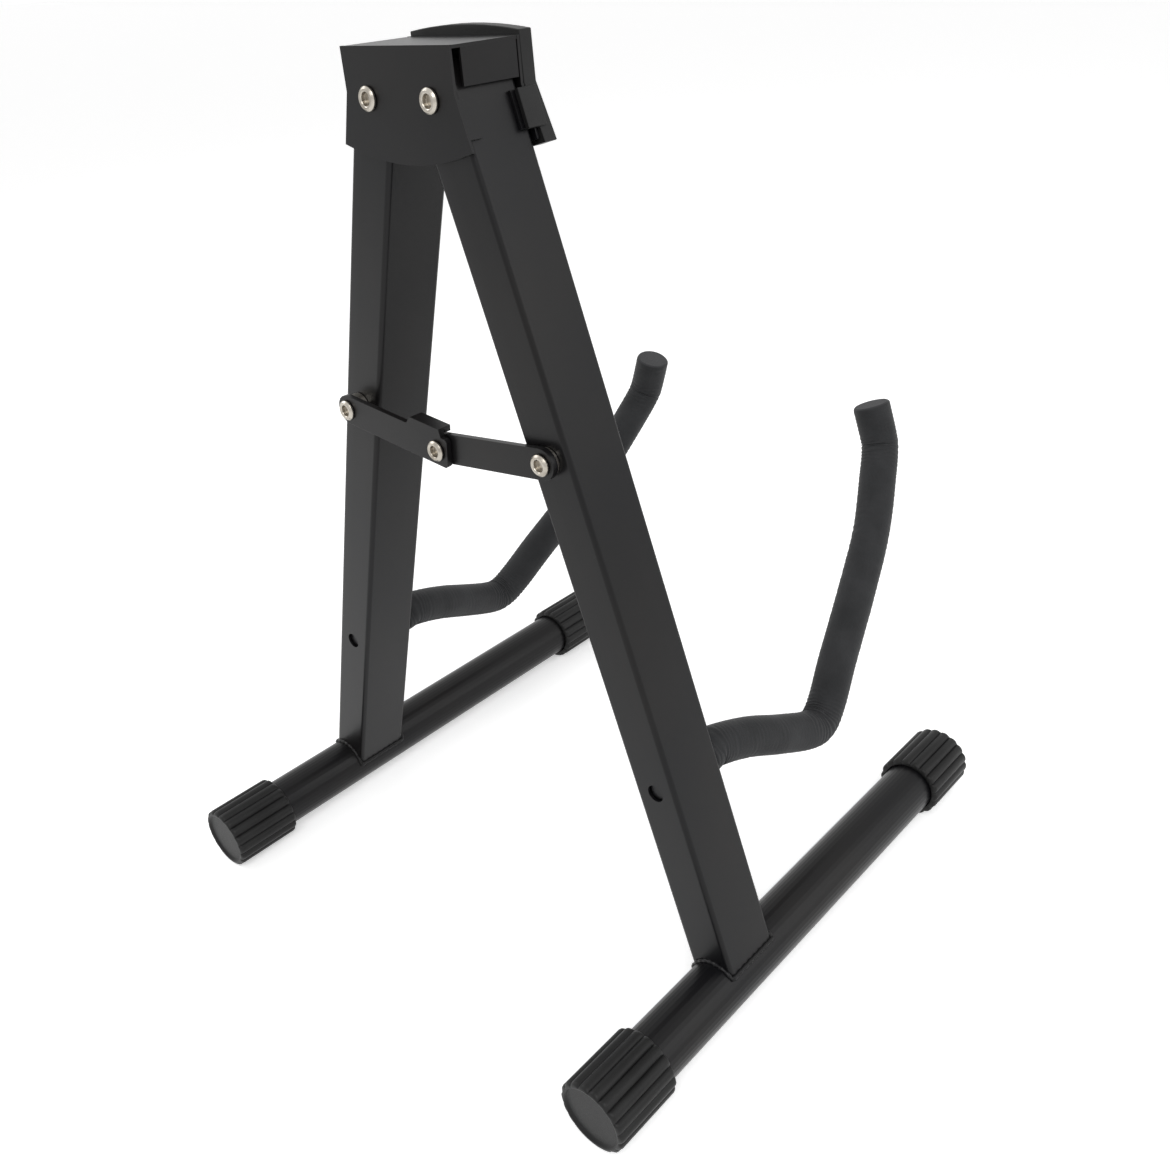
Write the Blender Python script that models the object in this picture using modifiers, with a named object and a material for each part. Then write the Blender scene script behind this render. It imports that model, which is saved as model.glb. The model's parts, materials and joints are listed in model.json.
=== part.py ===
"""Folding A-frame guitar stand: two legs hinged in a steel bracket, foam arms and a locking brace."""
import math

import bmesh
import bpy
from mathutils import Matrix

# Frame sizes
HINGE_HEIGHT = 0.363
HINGE_HALF_SPACING = 0.0165
FOOT_HALF_SPACING = 0.1275
# Leg tube
LEG_WIDTH = 0.0214
LEG_DEPTH = 0.0293
LEG_WALL = 0.0015
LEG_TOP = 0.0095
LEG_CORNER = 0.002
# Foot tube and caps
FOOT_RADIUS = 0.0125
FOOT_WALL = 0.0015
FOOT_REAR = 0.081
FOOT_FRONT = -0.1984
CAP_LENGTH = 0.0337
CAP_RADIUS = 0.016
CAP_END_WALL = 0.003
CAP_FLUTES = 18
CAP_FLUTE_DEPTH = 0.0006
CAP_RECESS_DEPTH = 0.001
CAP_RIM = 0.0035
CAP_FLAT = 0.0004
# Arms
ROD_RADIUS = 0.0035
FOAM_RADIUS = 0.009
FOAM_TIP_WALL = 0.002
ARM_REACH = 0.2106
ARM_EXIT_DROP = 0.2698
ARM_BEND_DROP = 0.2965
ARM_KINK_DROP = 0.197
ARM_TIP_LENGTH = 0.0234
# Bracket
SHEET = 0.0012
BRACKET_TOP = 0.0169
BRACKET_CORNER_DROP = 0.016
BRACKET_ARC_DROP = 0.0215
FLAP_HEIGHT = 0.013
FLAP_REAR_INSET = 0.005
FLAP_FRONT_INSET = 0.0015
TAB_HEIGHT = 0.013
TAB_DEPTH = 0.007
TAB_TOP_DROP = 0.0035
# Rest pad
PAD_THICKNESS = 0.006
PAD_CROWN = 0.0205
PAD_SHOULDER_X = 0.0285
PAD_SHOULDER_RISE = 0.0185
PAD_CORNER_X = 0.0368
PAD_CORNER_DROP = 0.0172
PAD_ARC_DROP = 0.0225
PAD_TAB_HEIGHT = 0.0135
PAD_TAB_DEPTH = 0.006
PAD_TAB_WALL = 0.002
PAD_RIBS = 7
PAD_RIB_PITCH = 0.007
PAD_RIB_WIDTH = 0.0022
PAD_RIB_HEIGHT = 0.0008
PAD_RIB_LENGTH = 0.016
# Brace
LINK_DROP = 0.1282
LINK_SAG = 0.0059
LINK_HALF_WIDTH = 0.00625
LINK_THICKNESS = 0.0025
LINK_STANDOFF = 0.0018
LINK_END = 0.006
STOP_LENGTH = 0.017
STOP_PAST = 0.0015
STOP_DEPTH = 0.0065
# Rivets
RIVET_RADIUS = 0.003
RIVET_HEAD_RADIUS = 0.0043
RIVET_HEAD_HEIGHT = 0.0016
RIVET_TAIL_HEIGHT = 0.001
RIVET_RECESS_RADIUS = 0.0023
RIVET_RECESS_DEPTH = 0.002
WASHER_RADIUS = 0.0055
FOLD_STEP = 0.0001
# Fits
GAP = 0.0003
HOLE_CLEARANCE = 0.0003

FOOT_AXIS_HEIGHT = CAP_RADIUS - CAP_FLAT
SPREAD = math.atan2(FOOT_HALF_SPACING - HINGE_HALF_SPACING, HINGE_HEIGHT - FOOT_AXIS_HEIGHT)
FOOT_DROP = (HINGE_HEIGHT - FOOT_AXIS_HEIGHT) / math.cos(SPREAD)
REAR_FACE_Y = (ARM_REACH + FOAM_RADIUS - FOOT_REAR) / 2
LINK_X = HINGE_HALF_SPACING + LINK_DROP * math.sin(SPREAD)
LINK_Z = HINGE_HEIGHT - LINK_DROP * math.cos(SPREAD)
LINK_LENGTH = math.hypot(LINK_X, LINK_SAG)
LINK_TILT = math.atan2(LINK_SAG, LINK_X)
STOP_RISE = LINK_HALF_WIDTH / math.cos(2 * LINK_TILT) + STOP_PAST * math.tan(2 * LINK_TILT) + GAP
BRACKET_HALF = HINGE_HALF_SPACING + LEG_WIDTH / 2 + GAP + SHEET
INNER_LINK_Y = LINK_STANDOFF
OUTER_LINK_Y = LINK_STANDOFF + LINK_THICKNESS + GAP
PLATE_FRONT_Y = -LEG_DEPTH - GAP - SHEET
HOLE_RADIUS = RIVET_RADIUS + HOLE_CLEARANCE
TAB_FACE_X = HINGE_HALF_SPACING + (LEG_WIDTH / 2 + GAP + SHEET) / math.cos(SPREAD)
BRACKET_SHOULDER = (TAB_FACE_X - BRACKET_HALF) / math.tan(SPREAD)
BRACKET_CORNER_X = TAB_FACE_X + BRACKET_CORNER_DROP * math.tan(SPREAD)


def clear_scene():
    for item in list(bpy.data.objects):
        bpy.data.objects.remove(item, do_unlink=True)


def collection(name):
    group = bpy.data.collections.new(name)
    bpy.context.scene.collection.children.link(group)
    return group


def material(name, colour, roughness, metallic):
    mat = bpy.data.materials.new(name)
    mat.use_nodes = True
    shader = mat.node_tree.nodes["Principled BSDF"]
    shader.inputs["Base Color"].default_value = (*colour, 1.0)
    shader.inputs["Roughness"].default_value = roughness
    shader.inputs["Metallic"].default_value = metallic
    return mat


clear_scene()
STAND = collection("guitar_stand")
CUTTERS = collection("cutters")
BLACK_STEEL = material("black_powder_coat", (0.012, 0.012, 0.014), 0.35, 0.0)
NICKEL = material("nickel", (0.55, 0.52, 0.47), 0.28, 1.0)
RUBBER = material("rubber", (0.014, 0.014, 0.014), 0.55, 0.0)
FOAM = material("foam", (0.035, 0.036, 0.038), 0.85, 0.0)


def pivot(name, location, angle):
    """An empty on a joint axis, turned about Y."""
    empty = bpy.data.objects.new(name, None)
    empty.location = location
    empty.rotation_euler = (0.0, angle, 0.0)
    STAND.objects.link(empty)
    return empty


def add(name, mesh, mat, parent=None, location=(0, 0, 0), rotation=(0, 0, 0)):
    item = bpy.data.objects.new(name, mesh)
    mesh.materials.clear()
    mesh.materials.append(mat)
    item.parent = parent
    item.location = location
    item.rotation_euler = rotation
    STAND.objects.link(item)
    return item


def finish_mesh(name, bm):
    mesh = bpy.data.meshes.new(name)
    bm.to_mesh(mesh)
    bm.free()
    return mesh


def box_mesh(low, high, corner=0.0):
    """A box from its low and high corners, with its upright edges rounded by corner."""
    bm = bmesh.new()
    bmesh.ops.create_cube(bm, size=1.0)
    size = [high[i] - low[i] for i in range(3)]
    middle = [(high[i] + low[i]) / 2 for i in range(3)]
    bmesh.ops.scale(bm, vec=size, verts=bm.verts)
    bmesh.ops.translate(bm, vec=middle, verts=bm.verts)
    if corner > 0:
        upright = [e for e in bm.edges if abs(e.verts[0].co.z - e.verts[1].co.z) > size[2] / 2]
        bmesh.ops.bevel(bm, geom=upright, offset=corner, segments=3, profile=0.5, affect="EDGES")
    return finish_mesh("box", bm)


def cylinder_mesh(radius, start_y, end_y, segments=32):
    """A cylinder along Y between two places."""
    bm = bmesh.new()
    bmesh.ops.create_cone(
        bm, cap_ends=True, segments=segments, radius1=radius, radius2=radius, depth=abs(end_y - start_y)
    )
    bmesh.ops.rotate(bm, matrix=Matrix.Rotation(math.pi / 2, 3, "X"), verts=bm.verts)
    bmesh.ops.translate(bm, vec=(0, (start_y + end_y) / 2, 0), verts=bm.verts)
    return finish_mesh("cylinder", bm)


def boolean(target, mesh, operation, location=(0, 0, 0), rotation=(0, 0, 0), parent=None):
    """Cuts or joins target with a mesh placed in the same parent's space."""
    tool = bpy.data.objects.new(target.name + "_tool", mesh)
    tool.parent = parent if parent else target.parent
    tool.location = location
    tool.rotation_euler = rotation
    tool.hide_render = True
    tool.display_type = "WIRE"
    CUTTERS.objects.link(tool)
    step = target.modifiers.new(operation.lower(), "BOOLEAN")
    step.object = tool
    step.operation = operation
    step.solver = "EXACT"


def smooth(item, degrees=35):
    item.data.shade_smooth()
    item.data.set_sharp_from_angle(angle=math.radians(degrees))


def curve_mesh(curve):
    """The closed mesh of a curve, with its caps welded on."""
    guide = bpy.data.objects.new("guide", curve)
    STAND.objects.link(guide)
    bpy.context.view_layer.update()
    graph = bpy.context.evaluated_depsgraph_get()
    mesh = bpy.data.meshes.new_from_object(guide.evaluated_get(graph))
    bpy.data.objects.remove(guide, do_unlink=True)
    bm = bmesh.new()
    bm.from_mesh(mesh)
    bmesh.ops.remove_doubles(bm, verts=bm.verts, dist=0.00002)
    bm.to_mesh(mesh)
    bm.free()
    return mesh


def plate_mesh(loops, thickness):
    """A flat plate from closed outlines; x and z of the outline, thickness along Y from 0 rearwards."""
    curve = bpy.data.curves.new("outline", "CURVE")
    curve.dimensions = "2D"
    curve.fill_mode = "BOTH"
    curve.extrude = thickness / 2
    for loop in loops:
        spline = curve.splines.new("POLY")
        spline.points.add(len(loop) - 1)
        for point, (x, z) in zip(spline.points, loop):
            point.co = (x, z, 0, 1)
        spline.use_cyclic_u = True
    mesh = curve_mesh(curve)
    mesh.transform(Matrix.Translation((0, thickness / 2, 0)) @ Matrix.Rotation(math.pi / 2, 4, "X"))
    return mesh


def rod_mesh(points, radius, resolution):
    curve = bpy.data.curves.new("path", "CURVE")
    curve.dimensions = "3D"
    curve.bevel_depth = radius
    curve.bevel_resolution = resolution
    curve.use_fill_caps = True
    spline = curve.splines.new("POLY")
    spline.points.add(len(points) - 1)
    for point, place in zip(spline.points, points):
        point.co = (*place, 1)
    return curve_mesh(curve)


def turned(name, profile, mat, parent, location, segments=24):
    """A turned piece: profile of (radius, depth) from its rear end to its front end, axis along Y."""
    mesh = bpy.data.meshes.new(name)
    points = [(radius, 0.0, depth) for radius, depth in profile]
    edges = [(i, i + 1) for i in range(len(points) - 1)]
    mesh.from_pydata(points, edges, [])
    item = add(name, mesh, mat, parent, location, (-math.pi / 2, 0, 0))
    screw = item.modifiers.new("turn", "SCREW")
    screw.steps = segments
    screw.render_steps = segments
    screw.use_merge_vertices = True
    screw.merge_threshold = 0.00001
    screw.use_smooth_shade = False
    return item


def circle(x, z, radius, count=24):
    steps = [2 * math.pi * i / count for i in range(count)]
    return [(x + radius * math.cos(a), z + radius * math.sin(a)) for a in steps]


def arc(x, z, radius, start, end, count=10):
    steps = [math.radians(start + (end - start) * i / count) for i in range(count + 1)]
    return [(x + radius * math.cos(a), z + radius * math.sin(a)) for a in steps]


def bulge(x_from, x_to, z_end, z_middle, count=10):
    """Points of a shallow parabola from one corner to the other."""
    half = (x_to - x_from) / 2
    points = []
    for i in range(1, count):
        t = 2 * i / count - 1
        points.append((x_from + half * (t + 1), z_middle + (z_end - z_middle) * t * t))
    return points


def rivet_profile(head_y, shaft_from, shaft_to, tail_height, head_radius=RIVET_HEAD_RADIUS):
    """A hollow rivet with a rolled ring head at the rear and a flat set tail at the front."""
    top = shaft_from + head_y
    bottom = shaft_to - tail_height
    lip = RIVET_HEAD_HEIGHT / 4
    profile = [
        (0.0, top - RIVET_RECESS_DEPTH),
        (RIVET_RECESS_RADIUS, top - RIVET_RECESS_DEPTH),
        (RIVET_RECESS_RADIUS, top - lip),
        (RIVET_RECESS_RADIUS + lip, top),
        (head_radius - 2 * lip, top),
        (head_radius, top - 2 * lip),
        (head_radius, shaft_from),
        (RIVET_RADIUS, shaft_from),
    ]
    if tail_height > 0:
        profile += [(RIVET_RADIUS, shaft_to), (head_radius, shaft_to), (head_radius, bottom)]
    else:
        profile += [(RIVET_RADIUS, bottom)]
    return profile + [(0.0, bottom)]


def arm_points(start, end):
    """Smooth path of an arm in its leg's plane, as (y, drop) turned into leg coordinates."""
    exit_y = -LEG_DEPTH
    bend_y = ARM_REACH / 2
    kink_y = ARM_REACH
    slope = (ARM_BEND_DROP - ARM_KINK_DROP) / (kink_y - bend_y)
    keys = [
        (start, ARM_EXIT_DROP),
        (exit_y - 0.004, ARM_EXIT_DROP),
        (exit_y - 0.010, ARM_EXIT_DROP),
        (exit_y - 0.03, ARM_EXIT_DROP + 0.007),
        (exit_y - 0.05, ARM_BEND_DROP - 0.010),
        (-bend_y + 0.006, ARM_BEND_DROP - 0.001),
        (-bend_y - 0.004, ARM_BEND_DROP),
        (-bend_y - 0.014, ARM_BEND_DROP - 0.006),
        (-bend_y - 0.030, ARM_BEND_DROP - 0.030 * slope * 0.72),
        (-bend_y - 0.055, ARM_BEND_DROP - 0.055 * slope * 0.80),
        (-bend_y - 0.080, ARM_BEND_DROP - 0.080 * slope * 0.86),
        (-kink_y + 0.008, ARM_KINK_DROP + 0.0105),
        (-kink_y + 0.0016, ARM_KINK_DROP),
        (-kink_y, ARM_KINK_DROP - ARM_TIP_LENGTH * 0.28),
        (-kink_y, ARM_KINK_DROP - ARM_TIP_LENGTH + end),
    ]
    path = []
    for i in range(len(keys) - 1):
        before = keys[max(i - 1, 0)]
        after = keys[min(i + 2, len(keys) - 1)]
        for k in range(2):
            t = k / 2
            y, drop = [
                0.5 * (2 * b + (c - a) * t + (2 * a - 5 * b + 4 * c - d) * t * t + (3 * b - a - 3 * c + d) * t ** 3)
                for a, b, c, d in zip(before, keys[i], keys[i + 1], after)
            ]
            path.append((0.0, y, -drop))
    path.append((0.0, keys[-1][0], -keys[-1][1]))
    return path


def leg_tube(side, hinge):
    half = LEG_WIDTH / 2
    low = (-half, -LEG_DEPTH, -FOOT_DROP)
    leg = add(side + "_leg_tube", box_mesh(low, (half, 0.0, LEG_TOP), LEG_CORNER), BLACK_STEEL, hinge)
    inner_low = (-half + LEG_WALL, -LEG_DEPTH + LEG_WALL, -FOOT_DROP - FOOT_RADIUS)
    inner_high = (half - LEG_WALL, -LEG_WALL, LEG_TOP + LEG_WALL)
    boolean(leg, box_mesh(inner_low, inner_high), "DIFFERENCE")
    cope = cylinder_mesh(FOOT_RADIUS + GAP, -2 * LEG_DEPTH, LEG_DEPTH, 40)
    boolean(leg, cope, "DIFFERENCE", (0, 0, -FOOT_DROP))
    boolean(leg, cylinder_mesh(HOLE_RADIUS, -2 * LEG_DEPTH, LEG_DEPTH, 24), "DIFFERENCE")
    rear_only = cylinder_mesh(HOLE_RADIUS, -LEG_DEPTH / 2, LEG_DEPTH, 24)
    boolean(leg, rear_only, "DIFFERENCE", (0, 0, -LINK_DROP))
    arm_bore = cylinder_mesh(ROD_RADIUS + HOLE_CLEARANCE, -2 * LEG_DEPTH, LEG_DEPTH, 24)
    boolean(leg, arm_bore, "DIFFERENCE", (0, 0, -ARM_EXIT_DROP))
    return leg


def foot_tube(side, hinge):
    rear = FOOT_REAR - CAP_END_WALL - GAP
    front = FOOT_FRONT + CAP_END_WALL + GAP
    place = (0, 0, -FOOT_DROP)
    foot = add(side + "_foot_tube", cylinder_mesh(FOOT_RADIUS, front, rear, 40), BLACK_STEEL, hinge, place)
    bore = cylinder_mesh(FOOT_RADIUS - FOOT_WALL, front - FOOT_RADIUS, rear + FOOT_RADIUS, 24)
    boolean(foot, bore, "DIFFERENCE", place)
    smooth(foot)


def rubber_cap(name, hinge, turn, end_y, inward):
    """A fluted rubber cap whose closed end is at end_y and whose mouth is inward."""
    mouth = end_y + inward * CAP_LENGTH
    mesh = cylinder_mesh(CAP_RADIUS, min(end_y, mouth), max(end_y, mouth), CAP_FLUTES * 4)
    for vertex in mesh.vertices:
        angle = math.atan2(vertex.co.z, vertex.co.x)
        if vertex.co.z > -CAP_RADIUS * 0.85:
            dip = CAP_FLUTE_DEPTH * (0.5 - 0.5 * math.cos(angle * CAP_FLUTES))
            shrink = 1 - dip / CAP_RADIUS
            vertex.co.x *= shrink
            vertex.co.z *= shrink
        vertex.co.z = max(vertex.co.z, -CAP_RADIUS + CAP_FLAT)
    place = (0, 0, -FOOT_DROP)
    cap = add(name, mesh, RUBBER, hinge, place, (0, turn, 0))
    bore_start = end_y + inward * CAP_END_WALL
    bore = cylinder_mesh(FOOT_RADIUS + GAP, bore_start, mouth + inward * CAP_RIM, 40)
    boolean(cap, bore, "DIFFERENCE", place)
    recess_end = end_y + inward * CAP_RECESS_DEPTH
    recess = cylinder_mesh(CAP_RADIUS - CAP_RIM, end_y - inward * CAP_RIM, recess_end, 40)
    boolean(cap, recess, "DIFFERENCE", place)


def arm(side, hinge):
    rod = add(side + "_arm_rod", rod_mesh(arm_points(-LEG_WALL, FOAM_TIP_WALL + GAP), ROD_RADIUS, 3), BLACK_STEEL, hinge)
    smooth(rod)
    outer = arm_points(-LEG_DEPTH - GAP, 0.0)
    foam = add(side + "_arm_foam", rod_mesh(outer, FOAM_RADIUS, 5), FOAM, hinge)
    core = rod_mesh(arm_points(-LEG_WALL, FOAM_TIP_WALL), ROD_RADIUS + GAP, 3)
    boolean(foam, core, "DIFFERENCE")
    smooth(foam)


def leg(side, sign):
    """One leg with its foot, caps and arm, all in the leg's own frame at its hinge."""
    place = (sign * HINGE_HALF_SPACING, REAR_FACE_Y, HINGE_HEIGHT)
    hinge = pivot(side + "_hinge", place, -sign * SPREAD)
    leg_tube(side, hinge)
    foot_tube(side, hinge)
    rubber_cap(side + "_rear_cap", hinge, sign * SPREAD, FOOT_REAR, -1)
    rubber_cap(side + "_front_cap", hinge, sign * SPREAD, FOOT_FRONT, 1)
    arm(side, hinge)
    return hinge


def bracket_outline(half_top, top, shoulder, corner_x, corner_drop, arc_drop):
    left = [(-half_top, top), (-half_top, shoulder), (-corner_x, -corner_drop)]
    right = [(corner_x, -corner_drop), (half_top, shoulder), (half_top, top)]
    return left + bulge(-corner_x, corner_x, -corner_drop, -arc_drop) + right


def hinge_bracket(legs):
    centre = pivot("bracket_centre", (0, REAR_FACE_Y, HINGE_HEIGHT), 0.0)
    outline = bracket_outline(
        BRACKET_HALF, BRACKET_TOP, BRACKET_SHOULDER, BRACKET_CORNER_X, BRACKET_CORNER_DROP, BRACKET_ARC_DROP
    )
    holes = [circle(s * HINGE_HALF_SPACING, 0, HOLE_RADIUS) for s in (-1, 1)]
    rear = plate_mesh([outline] + holes, SHEET)
    rear.transform(Matrix.Translation((0, GAP, 0)))
    bracket = add("hinge_bracket", rear, BLACK_STEEL, centre)
    front = plate_mesh([outline] + holes, SHEET)
    front.transform(Matrix.Translation((0, PLATE_FRONT_Y, 0)))
    boolean(bracket, front, "UNION")
    front_y = PLATE_FRONT_Y + FOLD_STEP
    rear_y = GAP + SHEET - FOLD_STEP
    roof_x = BRACKET_HALF - FOLD_STEP
    roof_low = (-roof_x, front_y, BRACKET_TOP - SHEET)
    boolean(bracket, box_mesh(roof_low, (roof_x, rear_y, BRACKET_TOP - FOLD_STEP)), "UNION")
    flap_x = BRACKET_HALF - 2 * FOLD_STEP
    tab_x = LEG_WIDTH / 2 + GAP + SHEET - FOLD_STEP
    z_top = -TAB_TOP_DROP
    z_low = z_top - TAB_HEIGHT
    for sign in (-1, 1):
        xs = sorted((sign * flap_x, sign * (BRACKET_HALF - SHEET)))
        flap_low = (xs[0], front_y + FLAP_FRONT_INSET, BRACKET_TOP - FLAP_HEIGHT)
        flap_high = (xs[1], rear_y - FLAP_REAR_INSET, BRACKET_TOP - 2 * FOLD_STEP)
        boolean(bracket, box_mesh(flap_low, flap_high), "UNION")
        xs = sorted((sign * (LEG_WIDTH / 2 + GAP), sign * tab_x))
        rear_tab = box_mesh((xs[0], rear_y - TAB_DEPTH, z_low), (xs[1], rear_y, z_top))
        boolean(bracket, rear_tab, "UNION", parent=legs[sign])
        front_tab = box_mesh((xs[0], front_y, z_low), (xs[1], front_y + TAB_DEPTH, z_top))
        boolean(bracket, front_tab, "UNION", parent=legs[sign])
    return centre


def rest_pad(centre, legs):
    left = [(-PAD_SHOULDER_X, PAD_SHOULDER_RISE), (-PAD_SHOULDER_X - GAP, BRACKET_SHOULDER)]
    left.append((-PAD_CORNER_X, -PAD_CORNER_DROP))
    right = [(-x, z) for x, z in reversed(left)]
    bottom = bulge(-PAD_CORNER_X, PAD_CORNER_X, -PAD_CORNER_DROP, -PAD_ARC_DROP)
    crown = bulge(PAD_SHOULDER_X, -PAD_SHOULDER_X, PAD_SHOULDER_RISE, PAD_CROWN)
    back = PLATE_FRONT_Y - GAP
    body = plate_mesh([left + bottom + right + crown], PAD_THICKNESS)
    body.transform(Matrix.Translation((0, back - PAD_THICKNESS, 0)))
    pad = add("rest_pad", body, RUBBER, centre)
    for sign in (-1, 1):
        start = LEG_WIDTH / 2 + 2 * GAP + SHEET
        xs = sorted((sign * start, sign * (start + PAD_TAB_WALL)))
        low = (xs[0], back - PAD_THICKNESS / 2, -TAB_TOP_DROP - PAD_TAB_HEIGHT)
        high = (xs[1], back + PAD_TAB_DEPTH, -TAB_TOP_DROP)
        boolean(pad, box_mesh(low, high), "UNION", parent=legs[sign])
        head_room = RIVET_TAIL_HEIGHT + 2 * GAP
        hollow = cylinder_mesh(RIVET_HEAD_RADIUS + GAP, back - head_room, back + GAP, 24)
        boolean(pad, hollow, "DIFFERENCE", (sign * HINGE_HALF_SPACING, 0, 0))
    for i in range(PAD_RIBS):
        x = (i - (PAD_RIBS - 1) / 2) * PAD_RIB_PITCH
        face = back - PAD_THICKNESS
        low = (x - PAD_RIB_WIDTH / 2, face - PAD_RIB_HEIGHT, -PAD_CORNER_DROP)
        high = (x + PAD_RIB_WIDTH / 2, face + PAD_RIB_HEIGHT, -PAD_CORNER_DROP + PAD_RIB_LENGTH)
        boolean(pad, box_mesh(low, high), "UNION")


def hinge_rivet(side, sign, centre):
    rear = 2 * GAP + SHEET
    front = PLATE_FRONT_Y - GAP / 2
    profile = rivet_profile(RIVET_HEAD_HEIGHT, rear, front, RIVET_TAIL_HEIGHT)
    turned(side + "_hinge_rivet", profile, NICKEL, centre, (sign * HINGE_HALF_SPACING, 0, 0))


def link_outline(stop):
    """A link from its own pivot at 0 to the other pivot at -LINK_LENGTH."""
    w = LINK_HALF_WIDTH
    own_end = arc(0, 0, w, -90, 90)
    if not stop:
        return own_end + arc(-LINK_LENGTH, 0, w, 90, 270)
    rise = STOP_RISE + LINK_THICKNESS
    inner_x = -LINK_LENGTH + STOP_LENGTH - STOP_PAST
    outer_x = -LINK_LENGTH - STOP_PAST
    end_x = -LINK_LENGTH - LINK_END
    chamfer = LINK_HALF_WIDTH / 5
    step = [(inner_x + LINK_THICKNESS, w), (inner_x, rise), (outer_x, rise), (outer_x - chamfer, w)]
    end = [(end_x + chamfer, w), (end_x, w - chamfer), (end_x, -w + chamfer), (end_x + chamfer, -w)]
    return own_end + step + end


def brace(legs):
    outer_pivot = pivot("right_link_pivot", (LINK_X, REAR_FACE_Y, LINK_Z), -LINK_TILT)
    holes = [circle(0, 0, HOLE_RADIUS), circle(-LINK_LENGTH, 0, HOLE_RADIUS)]
    outer_mesh = plate_mesh([link_outline(True)] + holes, LINK_THICKNESS)
    outer_mesh.transform(Matrix.Translation((0, OUTER_LINK_Y, 0)))
    outer = add("right_link", outer_mesh, BLACK_STEEL, outer_pivot)
    inner_x = -LINK_LENGTH + STOP_LENGTH - STOP_PAST
    rear_y = OUTER_LINK_Y + LINK_THICKNESS
    low = (-LINK_LENGTH - STOP_PAST, rear_y - STOP_DEPTH, STOP_RISE)
    boolean(outer, box_mesh(low, (inner_x, rear_y, STOP_RISE + LINK_THICKNESS)), "UNION")
    inner_pivot = pivot("left_link_pivot", (0, REAR_FACE_Y, LINK_Z - LINK_SAG), LINK_TILT)
    inner_mesh = plate_mesh([link_outline(False)] + holes, LINK_THICKNESS)
    inner_mesh.transform(Matrix.Translation((0, INNER_LINK_Y, 0)))
    add("left_link", inner_mesh, BLACK_STEEL, inner_pivot)
    centre_profile = rivet_profile(RIVET_HEAD_HEIGHT, rear_y + GAP, INNER_LINK_Y - GAP, RIVET_TAIL_HEIGHT)
    turned("centre_link_rivet", centre_profile, NICKEL, inner_pivot, (0, 0, 0))
    wall_inside = -LEG_WALL - GAP
    right_profile = rivet_profile(RIVET_HEAD_HEIGHT, rear_y + GAP, wall_inside, RIVET_TAIL_HEIGHT)
    turned("right_link_rivet", right_profile, NICKEL, legs[1], (0, 0, -LINK_DROP))
    left_rear = INNER_LINK_Y + LINK_THICKNESS + GAP
    head = rivet_profile(RIVET_HEAD_HEIGHT, left_rear, GAP, 0.0)
    turned("left_link_rivet_head", head, NICKEL, inner_pivot, (-LINK_LENGTH, 0, 0))
    tail = [(0, 0), (RIVET_RADIUS, 0), (RIVET_RADIUS, wall_inside), (RIVET_HEAD_RADIUS, wall_inside)]
    tail += [(RIVET_HEAD_RADIUS, wall_inside - RIVET_TAIL_HEIGHT), (0, wall_inside - RIVET_TAIL_HEIGHT)]
    turned("left_link_rivet_tail", tail, NICKEL, legs[-1], (0, 0, -LINK_DROP))
    washer("right_link_washer", OUTER_LINK_Y, outer_pivot, 0.0)
    washer("left_link_washer", INNER_LINK_Y, inner_pivot, -LINK_LENGTH)


def washer(name, link_front, parent, x):
    mesh = plate_mesh([circle(0, 0, WASHER_RADIUS), circle(0, 0, HOLE_RADIUS)], link_front - 2 * GAP)
    add(name, mesh, NICKEL, parent, (x, GAP, 0))


def build():
    legs = {-1: leg("left", -1), 1: leg("right", 1)}
    centre = hinge_bracket(legs)
    rest_pad(centre, legs)
    hinge_rivet("left", -1, centre)
    hinge_rivet("right", 1, centre)
    brace(legs)


build()
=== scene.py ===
"""Looks of the folding guitar stand: finishes, soft foam, moulded rubber, welds, camera and light."""

import json
import logging
import math
from dataclasses import dataclass
from enum import Enum
from itertools import accumulate
from typing import ClassVar

import bmesh
import bpy
from mathutils import Matrix, Vector, noise


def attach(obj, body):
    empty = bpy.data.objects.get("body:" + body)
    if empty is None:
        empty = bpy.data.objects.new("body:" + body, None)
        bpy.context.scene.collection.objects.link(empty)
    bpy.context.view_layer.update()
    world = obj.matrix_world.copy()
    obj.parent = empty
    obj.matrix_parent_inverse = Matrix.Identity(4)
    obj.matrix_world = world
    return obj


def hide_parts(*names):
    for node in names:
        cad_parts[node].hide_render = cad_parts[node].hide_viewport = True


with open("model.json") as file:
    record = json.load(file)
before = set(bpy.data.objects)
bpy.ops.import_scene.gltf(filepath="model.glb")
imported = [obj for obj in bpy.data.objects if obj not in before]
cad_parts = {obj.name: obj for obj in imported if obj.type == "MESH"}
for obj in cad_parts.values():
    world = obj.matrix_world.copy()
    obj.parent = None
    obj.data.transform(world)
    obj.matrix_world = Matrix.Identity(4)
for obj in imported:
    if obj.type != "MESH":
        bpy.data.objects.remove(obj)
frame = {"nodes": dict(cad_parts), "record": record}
LOG = logging.getLogger("guitar_stand")

# Short names for the types of colours, places, steps along an outline and rings of vertices
Triple = tuple[float, float, float]
Pairs = tuple[tuple[float, float], ...]
Triples = tuple[Triple, ...]
Ring = list[bmesh.types.BMVert]

WHITE = (1.0, 1.0, 1.0, 1.0)


class Named(Enum):
    """Options whose names, in small letters, are part of the names of nodes and bodies."""

    @property
    def word(self) -> str:
        """The option's name as the nodes and bodies use it."""
        return self.name.lower()


class Side(Named):
    """The two legs as seen from the front, with their sign along x."""

    LEFT = -1
    RIGHT = 1

    @property
    def leg_body(self) -> str:
        """The body of this side's leg."""
        return self.word + "_leg"


class End(Named):
    """The two ends of a foot tube, with the sign along y that leads into the tube."""

    REAR = -1
    FRONT = 1


class Socket(Enum):
    """The kinds of socket that the node groups have."""

    COLOUR = "NodeSocketColor"
    VALUE = "NodeSocketFloat"


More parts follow.
